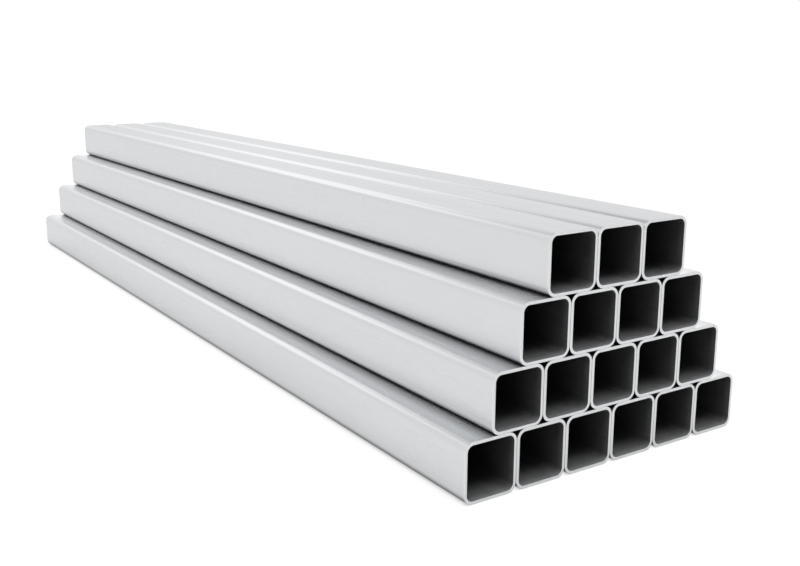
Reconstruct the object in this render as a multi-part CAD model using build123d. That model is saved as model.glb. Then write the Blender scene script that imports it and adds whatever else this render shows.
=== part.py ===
from build123d import *

import os

# A stack of square steel tubes, cold formed with rounded corners and open at both ends. It
# lies in four layers of 6, 5, 4 and 3 tubes, each over the joints of the layer below it.
#
# The origin is at the middle of the stack's underside. X runs across the stack, Y runs along
# the tubes, with the ends that the photograph looks into at -Y, and Z is up. Sizes are in mm.

# One tube
TUBE_SIDE = 260.0
WALL = 14.2
INNER_CORNER_RADIUS = 28.4
TUBE_LENGTH = 6100.0

# The stack
BOTTOM_LAYER_TUBES = 6
LAYERS = 4
SIDE_GAP = 2.0

# What follows from them: the wall is as thick round the corners as along the flats
OUTER_CORNER_RADIUS = INNER_CORNER_RADIUS + WALL
BORE_SIDE = TUBE_SIDE - 2 * WALL
PITCH = TUBE_SIDE + SIDE_GAP


def tube_section():
    """The ring that shows at a tube's cut end, centred on the tube's axis."""
    outside = RectangleRounded(TUBE_SIDE, TUBE_SIDE, OUTER_CORNER_RADIUS)
    bore = RectangleRounded(BORE_SIDE, BORE_SIDE, INNER_CORNER_RADIUS)
    return outside - bore


def straight_tube():
    """One tube along Y, half its length to each side of the origin."""
    section = Plane.XZ * tube_section()
    return extrude(section, TUBE_LENGTH / 2, both=True)


def tube_places():
    """Each tube's name and the middle of its section, layer by layer from the floor up."""
    for layer in range(LAYERS):
        tubes = BOTTOM_LAYER_TUBES - layer
        height = (layer + 0.5) * TUBE_SIDE
        for number in range(tubes):
            across = (number - (tubes - 1) / 2) * PITCH
            yield f"layer_{layer + 1}_tube_{number + 1}", Pos(across, 0, height)


def main():
    os.makedirs("parts", exist_ok=True)
    tube = straight_tube()
    for name, place in tube_places():
        export_step(place * tube, f"parts/{name}.step")


main()
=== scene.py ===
# A stack of square steel tubes, dressed for a studio picture. Metres, in the frame of the
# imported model: X across the stack, Y along the tubes, the near open ends at -Y, Z up.

import math
import random

import bmesh
import bpy
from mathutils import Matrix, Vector


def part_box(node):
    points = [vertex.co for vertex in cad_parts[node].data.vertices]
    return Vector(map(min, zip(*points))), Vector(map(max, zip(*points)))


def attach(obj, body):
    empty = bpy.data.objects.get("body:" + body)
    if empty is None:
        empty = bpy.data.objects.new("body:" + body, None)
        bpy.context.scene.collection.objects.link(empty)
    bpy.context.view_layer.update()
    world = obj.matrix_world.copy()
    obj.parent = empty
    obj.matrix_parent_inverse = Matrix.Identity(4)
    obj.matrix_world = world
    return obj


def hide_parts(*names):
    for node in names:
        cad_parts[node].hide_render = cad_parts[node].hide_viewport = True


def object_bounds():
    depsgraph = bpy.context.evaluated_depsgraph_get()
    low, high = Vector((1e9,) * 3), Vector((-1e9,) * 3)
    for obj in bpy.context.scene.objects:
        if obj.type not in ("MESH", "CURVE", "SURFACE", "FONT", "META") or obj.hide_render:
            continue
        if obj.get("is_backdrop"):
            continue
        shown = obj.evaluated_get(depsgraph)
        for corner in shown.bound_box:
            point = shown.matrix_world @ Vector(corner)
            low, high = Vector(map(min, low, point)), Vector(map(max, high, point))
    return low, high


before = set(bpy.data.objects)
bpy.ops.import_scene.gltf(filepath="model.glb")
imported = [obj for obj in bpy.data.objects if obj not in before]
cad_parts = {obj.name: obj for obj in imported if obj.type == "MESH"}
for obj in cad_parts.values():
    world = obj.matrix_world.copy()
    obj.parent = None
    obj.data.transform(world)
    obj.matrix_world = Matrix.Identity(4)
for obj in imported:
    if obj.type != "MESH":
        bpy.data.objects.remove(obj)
CAD_LOW, CAD_HIGH = (Vector(corner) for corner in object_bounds())
HALF_LENGTH = (CAD_HIGH.y - CAD_LOW.y) / 2
QUARTER_TURN = math.pi / 2

# One tube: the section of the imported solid, with its sawn edges broken. The border is a narrow
# strip along each broken edge, which keeps its smooth shading off the flat faces beside it.
WALL = 0.0142
INNER_RADIUS = 0.0284
OUTER_RADIUS = INNER_RADIUS + WALL
EDGE_BREAK = 0.0012
EDGE_BORDER = 0.004
CORNER_STEPS = 16
EDGE_STEPS = 2
SURFACES = ("outside", "bore", "sawn")

# The camera stands to the left of the near ends, as high as a standing person's eye. Its place
# is measured from the low corner of the stack, and its shift is that of a cropped picture.
CAMERA_FROM_CORNER = Vector((-2.1839, -2.7970, 1.7549))
CAMERA_TURN = math.radians(32.707)
CAMERA_DIP = math.radians(12.354)
CAMERA_SHIFT = Vector((0.0254, -0.0287))
CAMERA_LENS = 44.449
SENSOR_WIDTH = 36.0

# Steel, with its colours as reflectance. The edge tint is how much a face reflects where it is
# seen at a glancing angle. The sides get a lower one than the tops, a painted shade on the sides.
OUTSIDE_COLOUR = (0.630, 0.641, 0.653)
OUTSIDE_ROUGHNESS = 0.28
SIDE_EDGE_TINT_SHADED = 0.88
TOP_EDGE_TINT_LIT = 0.98
BORE_COLOUR = (0.132, 0.134, 0.137)
BORE_ROUGHNESS = 0.75
BORE_SHINE = 0.05
SAWN_COLOUR = (0.640, 0.652, 0.659)
SAWN_ROUGHNESS = 0.40
PLAIN_SHINE = 0.5

# Z of a surface's normal, 1 on a level top and -1 underneath, at which the painted shade under
# things, the painted light on tops and on the bore floor, and the edge tint start or reach their
# full strength
UNDERSIDE = -0.25
SIDE = 0.2
CORNER = 0.85
TOP = 0.9
FLAT_TOP = 0.98

# Marks on the outside. A shade is the share by which a mark makes the steel lighter or darker.
# Heights, depths and lengths are in metres. Undersides near another surface get a painted shade,
# and tops near one a painted light.
LINE_SHADE = 0.006
LINE_ROUGHNESS = 0.006
LINE_HEIGHT = 0.000006
BAND_SHADE = 0.008
BAND_ROUGHNESS = 0.008
CLOUD_SHADE = 0.007
CLOUD_ROUGHNESS = 0.005
SCRATCH_SHADE = 0.07
SCRATCH_ROUGHNESS = 0.05
SCRATCH_DEPTH = 0.00003
OUTSIDE_TONE_SHADE = 0.008
END_RUB_SHADE = 0.08
END_RUB_START = 0.004
END_RUB_FULL = 0.002
END_RUB_RAGGED = 0.006
CREASE_REACH = 0.15
# A painted shade under things and a painted light on tops, each near another surface
PAINTED_SHADE_UNDER = 0.28
PAINTED_LIGHT_ON_TOP = 2.30

# Marks in the bore. It gets a painted shade that darkens it from the mouth inwards, in a short
# first step and a longer second one, and a painted light on its floor.
STREAK_SHADE = 0.05
STREAK_HEIGHT = 0.00003
BLOTCH_SHADE = 0.10
BLOTCH_ROUGHNESS = 0.08
FLAKE_SHADE = 0.07
FLAKE_HEIGHT = 0.00008
BORE_TONE_SHADE = 0.04
# A painted light on the floor of the bore
BORE_FLOOR_PAINTED_LIGHT = 1.25
# A painted shade, darker from the mouth inwards in two steps
BORE_FIRST_SHADE_DEPTH = 0.035
BORE_FIRST_PAINTED_SHADE = 0.60
BORE_DEEP_SHADE_DEPTH = 0.25
BORE_DEEP_PAINTED_SHADE = 0.45

# Marks of the saw on the ends, and the lean of its blade in degrees
BLADE_SHADE = 0.06
BLADE_ROUGHNESS = 0.06
BLADE_HEIGHT = 0.00004
PASS_SHADE = 0.04
PASS_HEIGHT = 0.00006
SAWN_TONE_SHADE = 0.02
BLADE_LEAN = (0, 7, 0)

# Noises are read from the low to the high end of a range. Each tube draws a tone of its own,
# which shades it a little and reads its noises up to OWN_SHIFT metres further along.
WIDE_RANGE = (0.3, 0.7)
NARROW_RANGE = (0.35, 0.65)
TONE_SEED = 26
OWN_SHIFT = 40.0
OPENNESS_SAMPLES = 6

# Studio light. What the camera and the steel's reflections see is set apart from what lights
# the matt surfaces, so that the background stays white and the light on the steel plain. Each
# patch of sky is soft at its edges, with its angles in degrees. Reflections see a bright bar, a
# dim patch and a wide glow low down, and a shade above the bar. Matt surfaces are lit by the key.
SEEN_WHITE = 1.04
SEEN_SKY = 1.00
BAR = dict(
    azimuth=0, elevation=28.5, half_width=24, half_height=6.5,
    side_softness=16, softness=5, strength=0.65,
)
DIM = dict(
    azimuth=8, elevation=4, half_width=14, half_height=12,
    side_softness=12, softness=8, strength=-0.22,
)
GLOW = dict(
    azimuth=-12, elevation=8, half_width=38, half_height=10,
    side_softness=20, softness=10, strength=0.09,
)
SHADE = dict(
    azimuth=4, elevation=68, half_width=28, half_height=22,
    side_softness=16, softness=4, strength=-0.60,
)
MATT_BASE = 0.30
KEY = dict(
    azimuth=185, elevation=72, half_width=60, half_height=14,
    side_softness=8, softness=8, strength=7.8,
)
GLOSSY_BOUNCES = 4

# The floor, a whisker below the stack so that the two don't share a plane
FLOOR_SEEN = dict(diffuse=0.20, glow=0.84, shadow_reach=0.012, shadow_depth=0.35)
FLOOR_REFLECTED = dict(diffuse=0.55, glow=0.58, shadow_reach=0.5, shadow_depth=0.88)
FLOOR_MATT = 0.5
FLOOR_SIZE = 400
FLOOR_DROP = 0.0005


def rounded_square(middle, half, radius, steps):
    """Points in X and Z round a square with rounded corners, each arc in the given steps."""
    points = []
    for corner in range(4):
        start = corner * QUARTER_TURN
        diagonal = start + QUARTER_TURN / 2
        across = math.copysign(half - radius, math.cos(diagonal))
        up = math.copysign(half - radius, math.sin(diagonal))
        for step in range(steps + 1):
            angle = start + step / steps * QUARTER_TURN
            x = middle.x + across + radius * math.cos(angle)
            z = middle.z + up + radius * math.sin(angle)
            points.append((x, z))
    return points


def tube_rings(low, high):
    """Rings of points, each with its surface: in at the near end, along the bore and back."""
    middle = (low + high) / 2
    outer_half = (high.x - low.x) / 2
    inner_half = outer_half - WALL
    rings = []

    def ring(y, half, radius, surface):
        points = rounded_square(middle, half, radius, CORNER_STEPS)
        rings.append(([(x, y, z) for x, z in points], surface))

    arcs = [step / EDGE_STEPS * QUARTER_TURN for step in range(EDGE_STEPS + 1)]
    edge = [(EDGE_BREAK * (1 - math.sin(a)), EDGE_BREAK * (1 - math.cos(a))) for a in arcs]
    profile = [("outside", EDGE_BORDER, 0)]
    profile += [("outside", depth, inset) for depth, inset in edge]
    profile += [("bore", depth, inset) for depth, inset in reversed(edge)]
    profile += [("bore", EDGE_BORDER, 0)]
    for end, inwards, steps in ((low.y, 1, profile), (high.y, -1, profile[::-1])):
        for surface, depth, inset in steps:
            y = end + inwards * depth
            if surface == "outside":
                ring(y, outer_half - inset, OUTER_RADIUS - inset, surface)
            else:
                ring(y, inner_half + inset, INNER_RADIUS + inset, surface)
    return rings


def tube_mesh(name, low, high, tone):
    """A tube with broken edges at its sawn ends, and a material slot for each surface."""
    mesh = bmesh.new()
    rings = tube_rings(low, high)
    loops = [[mesh.verts.new(point) for point in points] for points, _ in rings]
    count = len(loops[0])
    for index, (_, surface) in enumerate(rings):
        following = (index + 1) % len(rings)
        next_surface = rings[following][1]
        slot = SURFACES.index(surface if surface == next_surface else "sawn")
        first, second = loops[index], loops[following]
        for corner in range(count):
            after = (corner + 1) % count
            around = (first[corner], first[after], second[after], second[corner])
            face = mesh.faces.new(around)
            face.material_index = slot
            face.smooth = True
    bmesh.ops.recalc_face_normals(mesh, faces=mesh.faces)
    data = bpy.data.meshes.new(name)
    mesh.to_mesh(data)
    mesh.free()
    tones = data.attributes.new("own_tone", "FLOAT", "POINT")
    tones.data.foreach_set("value", [tone] * len(data.vertices))
    return data


class Nodes:
    """A node tree, with short ways to add and join nodes. A value is a number or an output."""

    def __init__(self, name):
        self.material = bpy.data.materials.new(name)
        self.material.use_nodes = True
        self.tree = self.material.node_tree
        self.tree.nodes.clear()
        self.output = self.add("ShaderNodeOutputMaterial")

    @classmethod
    def on_tree(cls, tree):
        """The same short ways for a tree that is there already."""
        nodes = cls.__new__(cls)
        nodes.tree = tree
        return nodes

    def add(self, kind, **values):
        node = self.tree.nodes.new(kind)
        for key, value in values.items():
            setattr(node, key, value)
        return node

    def join(self, source, target):
        self.tree.links.new(source, target)

    def give(self, value, socket):
        if isinstance(value, bpy.types.NodeSocket):
            self.join(value, socket)
        else:
            socket.default_value = value

    def math(self, operation, *values):
        node = self.add("ShaderNodeMath", operation=operation)
        for socket, value in zip(node.inputs, values):
            self.give(value, socket)
        return node.outputs[0]

    def total(self, *values):
        result = values[0]
        for value in values[1:]:
            result = self.math("ADD", result, value)
        return result

    def product(self, *values):
        result = values[0]
        for value in values[1:]:
            result = self.math("MULTIPLY", result, value)
        return result

    def remap(self, value, low, high, to_low, to_high, curve="LINEAR"):
        """The value between low and high, moved to the range from to_low to to_high."""
        node = self.add("ShaderNodeMapRange", interpolation_type=curve)
        node.inputs["From Min"].default_value = low
        node.inputs["From Max"].default_value = high
        node.inputs["To Min"].default_value = to_low
        node.inputs["To Max"].default_value = to_high
        self.give(value, node.inputs["Value"])
        return node.outputs["Result"]

    def varied(self, middle, amount, noise, within=WIDE_RANGE):
        """The middle value, less by the amount where a noise is low and more where it is high."""
        return self.remap(noise, *within, middle - amount, middle + amount)

    def choice(self, factor, first, second):
        """The first value where the factor is 0 and the second where it is 1."""
        node = self.add("ShaderNodeMix", data_type="FLOAT")
        for name, value in (("Factor", factor), ("A", first), ("B", second)):
            self.give(value, node.inputs[name])
        return node.outputs["Result"]

    def parts(self, vector):
        """The X, Y and Z of a vector."""
        node = self.add("ShaderNodeSeparateXYZ")
        self.join(vector, node.inputs[0])
        return node.outputs

    def stretched(self, place, along_y=1, along_z=1, turn=(0, 0, 0)):
        """Coordinates turned by angles in degrees and then scaled along Y and Z."""
        turned = self.add("ShaderNodeVectorRotate", rotation_type="EULER_XYZ")
        self.join(place, turned.inputs["Vector"])
        turned.inputs["Rotation"].default_value = [math.radians(angle) for angle in turn]
        scaled = self.add("ShaderNodeVectorMath", operation="MULTIPLY")
        self.join(turned.outputs[0], scaled.inputs[0])
        scaled.inputs[1].default_value = (1, along_y, along_z)
        return scaled.outputs[0]

    def noise(self, place, scale, detail):
        node = self.add("ShaderNodeTexNoise")
        self.join(place, node.inputs["Vector"])
        node.inputs["Scale"].default_value = scale
        node.inputs["Detail"].default_value = detail
        return node.outputs["Fac"]

    def hairlines(self, place, scale, width):
        """1 on thin wandering lines, where a noise crosses its middle value, 0 between them."""
        above_middle = self.math("SUBTRACT", self.noise(place, scale, detail=0), 0.5)
        return self.remap(self.math("ABSOLUTE", above_middle), 0, width, 1, 0, "SMOOTHSTEP")

    def scattered(self, place, scale, low, high):
        """1 in soft-edged places here and there, where a slow noise is high, 0 elsewhere."""
        return self.remap(self.noise(place, scale, detail=1), low, high, 0, 1, "SMOOTHSTEP")

    def tinted(self, colour, factor):
        """A colour made lighter or darker by a factor that changes over the surface."""
        node = self.add("ShaderNodeVectorMath", operation="SCALE")
        node.inputs[0].default_value = colour
        self.join(factor, node.inputs["Scale"])
        return node.outputs[0]

    def bump(self, height, distance, under=None):
        node = self.add("ShaderNodeBump")
        node.inputs["Distance"].default_value = distance
        self.join(height, node.inputs["Height"])
        if under:
            self.join(under, node.inputs["Normal"])
        return node.outputs[0]

    def openness(self, reach):
        """1 in the open, and less where another surface stands within reach."""
        node = self.add("ShaderNodeAmbientOcclusion", samples=OPENNESS_SAMPLES)
        node.inputs["Distance"].default_value = reach
        return node.outputs["AO"]

    def facing_up(self):
        """The Z of the surface's normal: 1 on a level top, 0 on a side, -1 underneath."""
        return self.parts(self.add("ShaderNodeNewGeometry").outputs["Normal"])["Z"]

    def own_place(self):
        """Coordinates moved along Y by each tube's tone, the plain coordinates, and the tone."""
        place = self.add("ShaderNodeTexCoord").outputs["Object"]
        tone = self.add("ShaderNodeAttribute", attribute_name="own_tone").outputs["Fac"]
        shift = self.add("ShaderNodeCombineXYZ")
        self.join(self.product(tone, OWN_SHIFT), shift.inputs["Y"])
        moved = self.add("ShaderNodeVectorMath", operation="ADD")
        self.join(place, moved.inputs[0])
        self.join(shift.outputs[0], moved.inputs[1])
        return moved.outputs[0], place, tone

    def own_shade(self, tone, amount):
        """A factor of its own for each tube, up to the amount below or above 1."""
        return self.remap(tone, 0, 1, 1 - amount, 1 + amount)

    def off_middle(self, place):
        """Distance along the tube from the middle of its length."""
        return self.math("ABSOLUTE", self.parts(place)["Y"])

    def surface(self, colour, roughness, normal, metallic, shine=PLAIN_SHINE, edge_tint=None):
        shader = self.add("ShaderNodeBsdfPrincipled")
        shader.inputs["Metallic"].default_value = metallic
        shader.inputs["Specular IOR Level"].default_value = shine
        if edge_tint:
            self.join(edge_tint, shader.inputs["Specular Tint"])
        self.join(colour, shader.inputs["Base Color"])
        self.join(roughness, shader.inputs["Roughness"])
        self.join(normal, shader.inputs["Normal"])
        self.join(shader.outputs[0], self.output.inputs["Surface"])
        return self.material


def satin_steel():
    """The rolled outside: fine lines along the tube, soft bands and clouds, light scratches."""
    nodes = Nodes("satin_steel")
    own, place, tone = nodes.own_place()
    lines = nodes.noise(nodes.stretched(own, along_y=0.006), scale=620, detail=3)
    bands = nodes.noise(nodes.stretched(own, along_y=0.02), scale=24, detail=2)
    clouds = nodes.noise(nodes.stretched(own, along_y=0.35), scale=9, detail=4)
    scratches = light_scratches(nodes, own)
    ragged = nodes.product(nodes.noise(own, scale=210, detail=3), END_RUB_RAGGED)
    along = nodes.total(nodes.off_middle(place), ragged)
    rub_start, rub_full = HALF_LENGTH - END_RUB_START, HALF_LENGTH + END_RUB_FULL
    rubbed = nodes.remap(along, rub_start, rub_full, 0, 1, "SMOOTHSTEP")

    shade = nodes.product(
        nodes.varied(1, LINE_SHADE, lines),
        nodes.varied(1, BAND_SHADE, bands),
        nodes.varied(1, CLOUD_SHADE, clouds),
        nodes.own_shade(tone, OUTSIDE_TONE_SHADE),
        nodes.remap(scratches, 0, 1, 1, 1 + SCRATCH_SHADE),
        nodes.remap(rubbed, 0, 1, 1, 1 + END_RUB_SHADE),
        # painted shade under things and painted light on tops, near another surface
        painted_crease_shade_and_light(nodes),
    )
    rough = nodes.total(
        nodes.varied(OUTSIDE_ROUGHNESS, LINE_ROUGHNESS, lines),
        nodes.varied(0, CLOUD_ROUGHNESS, clouds),
        nodes.varied(0, BAND_ROUGHNESS, bands),
        nodes.product(scratches, SCRATCH_ROUGHNESS),
    )
    normal = nodes.bump(lines, LINE_HEIGHT)
    normal = nodes.bump(scratches, -SCRATCH_DEPTH, normal)
    # The sides reflect less than the tops at glancing angles: a painted shade on the sides
    edge_tint = nodes.remap(
        nodes.facing_up(), SIDE, TOP, SIDE_EDGE_TINT_SHADED, TOP_EDGE_TINT_LIT, "SMOOTHSTEP"
    )
    colour = nodes.tinted(OUTSIDE_COLOUR, shade)
    return nodes.surface(colour, rough, normal, metallic=1.0, edge_tint=edge_tint)


def light_scratches(nodes, own):
    """1 on a few long scratches nearly along the tube and fewer short ones across it."""
    nearly_along = nodes.stretched(own, along_y=0.012, turn=(0.6, 0, 0.8))
    long_scratch = nodes.hairlines(nearly_along, scale=60, width=0.006)
    askew = nodes.stretched(own, along_y=0.06, turn=(34, 0, -38))
    cross_scratch = nodes.hairlines(askew, scale=34, width=0.005)
    few = nodes.scattered(own, scale=3.1, low=0.56, high=0.66)
    fewer = nodes.scattered(own, scale=4.7, low=0.60, high=0.70)
    along, across = nodes.product(long_scratch, few), nodes.product(cross_scratch, fewer)
    return nodes.math("MAXIMUM", along, across)


def painted_crease_shade_and_light(nodes):
    """A factor near the next tube or the floor: painted shade on undersides, and painted light on
    the tops.
    """
    facing_up = nodes.facing_up()
    # Undersides near another surface darken, a painted shade; tops near one lighten, a painted
    # light
    under = nodes.remap(facing_up, UNDERSIDE, 0, PAINTED_SHADE_UNDER, 1)
    light_on_top = nodes.remap(facing_up, CORNER, FLAT_TOP, 1, PAINTED_LIGHT_ON_TOP)
    return nodes.choice(nodes.openness(CREASE_REACH), nodes.product(under, light_on_top), 1.0)


def bore_steel():
    """The inside, which keeps its dark mill scale: matt, blotched and streaked, with a painted
    light on its floor and a painted shade that deepens inwards.
    """
    nodes = Nodes("bore_steel")
    own, place, tone = nodes.own_place()
    depth = nodes.math("SUBTRACT", HALF_LENGTH, nodes.off_middle(place))
    streaks = nodes.noise(nodes.stretched(own, along_y=0.02), scale=90, detail=3)
    blotches = nodes.noise(nodes.stretched(own, along_y=0.5), scale=16, detail=5)
    flakes = nodes.noise(own, scale=260, detail=3)
    shade = nodes.product(
        nodes.varied(1, STREAK_SHADE, streaks),
        nodes.varied(1, BLOTCH_SHADE, blotches),
        # the floor of the bore made lighter: a painted light
        nodes.remap(nodes.facing_up(), SIDE, TOP, 1, BORE_FLOOR_PAINTED_LIGHT, "SMOOTHSTEP"),
        nodes.varied(1, FLAKE_SHADE, flakes, NARROW_RANGE),
        nodes.own_shade(tone, BORE_TONE_SHADE),
        # darker from the mouth inwards in two steps: a painted shade
        nodes.remap(depth, 0, BORE_FIRST_SHADE_DEPTH, 1, BORE_FIRST_PAINTED_SHADE),
        nodes.remap(depth, 0, BORE_DEEP_SHADE_DEPTH, 1, BORE_DEEP_PAINTED_SHADE, "SMOOTHSTEP"),
    )
    rough = nodes.varied(BORE_ROUGHNESS, BLOTCH_ROUGHNESS, blotches)
    normal = nodes.bump(streaks, STREAK_HEIGHT)
    normal = nodes.bump(flakes, FLAKE_HEIGHT, normal)
    colour = nodes.tinted(BORE_COLOUR, shade)
    return nodes.surface(colour, rough, normal, metallic=0.0, shine=BORE_SHINE)


def sawn_steel():
    """The cut ends: bright, with the fine upright marks of the saw blade."""
    nodes = Nodes("sawn_steel")
    own, _, tone = nodes.own_place()
    fine = nodes.stretched(own, along_z=0.02, turn=BLADE_LEAN)
    blade = nodes.noise(fine, scale=760, detail=2)
    coarse = nodes.stretched(own, along_z=0.04, turn=BLADE_LEAN)
    passes = nodes.noise(coarse, scale=130, detail=2)
    shade = nodes.product(
        nodes.varied(1, BLADE_SHADE, blade),
        nodes.varied(1, PASS_SHADE, passes),
        nodes.own_shade(tone, SAWN_TONE_SHADE),
    )
    rough = nodes.varied(SAWN_ROUGHNESS, BLADE_ROUGHNESS, blade)
    normal = nodes.bump(blade, BLADE_HEIGHT)
    normal = nodes.bump(passes, PASS_HEIGHT, normal)
    return nodes.surface(nodes.tinted(SAWN_COLOUR, shade), rough, normal, metallic=1.0)


def camera_ray(nodes):
    """1 for what the camera itself looks at."""
    return nodes.add("ShaderNodeLightPath").outputs["Is Camera Ray"]


def seen_ray(nodes):
    """1 for what the camera or a reflection looks at, 0 for light on a matt surface."""
    rays = nodes.add("ShaderNodeLightPath").outputs
    camera_or_glossy = nodes.math("MAXIMUM", rays["Is Camera Ray"], rays["Is Glossy Ray"])
    return nodes.math("MAXIMUM", camera_or_glossy, rays["Is Transmission Ray"])


def matt_white(nodes, brightness):
    paint = nodes.add("ShaderNodeBsdfDiffuse")
    paint.inputs["Color"].default_value = (brightness, brightness, brightness, 1)
    return paint.outputs[0]


def glowing_matt(nodes, diffuse, glow, shadow_reach, shadow_depth):
    """A matt white that also glows by itself, less where something stands near over it."""
    in_shadow = glow * (1 - shadow_depth)
    light = nodes.add("ShaderNodeEmission")
    strength = nodes.remap(nodes.openness(shadow_reach), 0, 1, in_shadow, glow)
    nodes.join(strength, light.inputs["Strength"])
    both = nodes.add("ShaderNodeAddShader")
    nodes.join(matt_white(nodes, diffuse), both.inputs[0])
    nodes.join(light.outputs[0], both.inputs[1])
    return both.outputs[0]


def either(nodes, factor, first, second):
    """The first shader where the factor is 0 and the second where it is 1."""
    mix = nodes.add("ShaderNodeMixShader")
    for source, target in zip((factor, first, second), mix.inputs):
        nodes.join(source, target)
    return mix.outputs[0]


def white_floor():
    """The floor: one white for the camera, one for reflections and one for matt light."""
    nodes = Nodes("white_floor")
    reflected = glowing_matt(nodes, **FLOOR_REFLECTED)
    looked_at = glowing_matt(nodes, **FLOOR_SEEN)
    seen = either(nodes, camera_ray(nodes), reflected, looked_at)
    shader = either(nodes, seen_ray(nodes), matt_white(nodes, FLOOR_MATT), seen)
    nodes.join(shader, nodes.output.inputs["Surface"])
    return nodes.material


def sky_patch(
    nodes, azimuth, elevation, half_width, half_height, side_softness, softness, strength
):
    """The strength inside a soft-edged patch of the sky, 0 outside it. Azimuth 0 is at +Y."""
    x, y, z = nodes.parts(nodes.add("ShaderNodeTexCoord").outputs["Generated"])
    sine, cosine = math.sin(math.radians(azimuth)), math.cos(math.radians(azimuth))
    ahead = nodes.total(nodes.product(x, sine), nodes.product(y, cosine))
    aside = nodes.math("SUBTRACT", nodes.product(x, cosine), nodes.product(y, sine))
    turn = nodes.math("ARCTAN2", aside, ahead)
    rise = nodes.math("SUBTRACT", nodes.math("ARCSINE", z), math.radians(elevation))
    masks = []
    for angle, half, soft in ((turn, half_width, side_softness), (rise, half_height, softness)):
        inner, outer = math.radians(half - soft / 2), math.radians(half + soft / 2)
        off_centre = nodes.math("ABSOLUTE", angle)
        masks.append(nodes.remap(off_centre, inner, outer, 1, 0, "SMOOTHSTEP"))
    return nodes.product(*masks, strength)


def light_studio():
    """A white room. Reflections see lighter and darker patches in it, matt surfaces a key."""
    world = bpy.data.worlds.new("studio")
    bpy.context.scene.world = world
    world.use_nodes = True
    sky = Nodes.on_tree(world.node_tree)
    background = world.node_tree.nodes["Background"]
    background.inputs["Color"].default_value = (1, 1, 1, 1)
    patches = [sky_patch(sky, **patch) for patch in (BAR, DIM, GLOW, SHADE)]
    reflected_light = sky.total(SEEN_SKY, *patches)
    matt_light = sky.total(sky_patch(sky, **KEY), MATT_BASE)
    light = sky.choice(seen_ray(sky), matt_light, reflected_light)
    strength = sky.choice(camera_ray(sky), light, SEEN_WHITE)
    sky.join(strength, background.inputs["Strength"])
    bpy.context.scene.cycles.glossy_bounces = GLOSSY_BOUNCES


def place_camera():
    data = bpy.data.cameras.new("camera")
    data.sensor_width = SENSOR_WIDTH
    data.lens = CAMERA_LENS
    data.shift_x, data.shift_y = CAMERA_SHIFT
    data.clip_end = FLOOR_SIZE
    camera = bpy.data.objects.new("camera", data)
    camera.location = CAD_LOW + CAMERA_FROM_CORNER
    camera.rotation_euler = (QUARTER_TURN - CAMERA_DIP, 0, -CAMERA_TURN)
    bpy.context.scene.collection.objects.link(camera)
    bpy.context.scene.camera = camera


# The tubes, each in the place of its own solid, with a material for each of the surfaces
materials = (satin_steel(), bore_steel(), sawn_steel())
draw = random.Random(TONE_SEED)
for node in sorted(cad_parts):
    low, high = (Vector(corner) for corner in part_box(node))
    name = "steel_" + node
    piece = bpy.data.objects.new(name, tube_mesh(name, low, high, draw.random()))
    bpy.context.scene.collection.objects.link(piece)
    for material in materials:
        piece.data.materials.append(material)
    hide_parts(node)
    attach(piece, "root")

# The floor, the light and the camera
bpy.ops.mesh.primitive_plane_add(size=FLOOR_SIZE, location=(0, 0, -FLOOR_DROP))
floor = bpy.context.object
floor.name = "floor"
floor.data.materials.append(white_floor())
floor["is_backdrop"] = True
light_studio()
place_camera()
bpy.context.scene.view_settings.view_transform = "Standard"
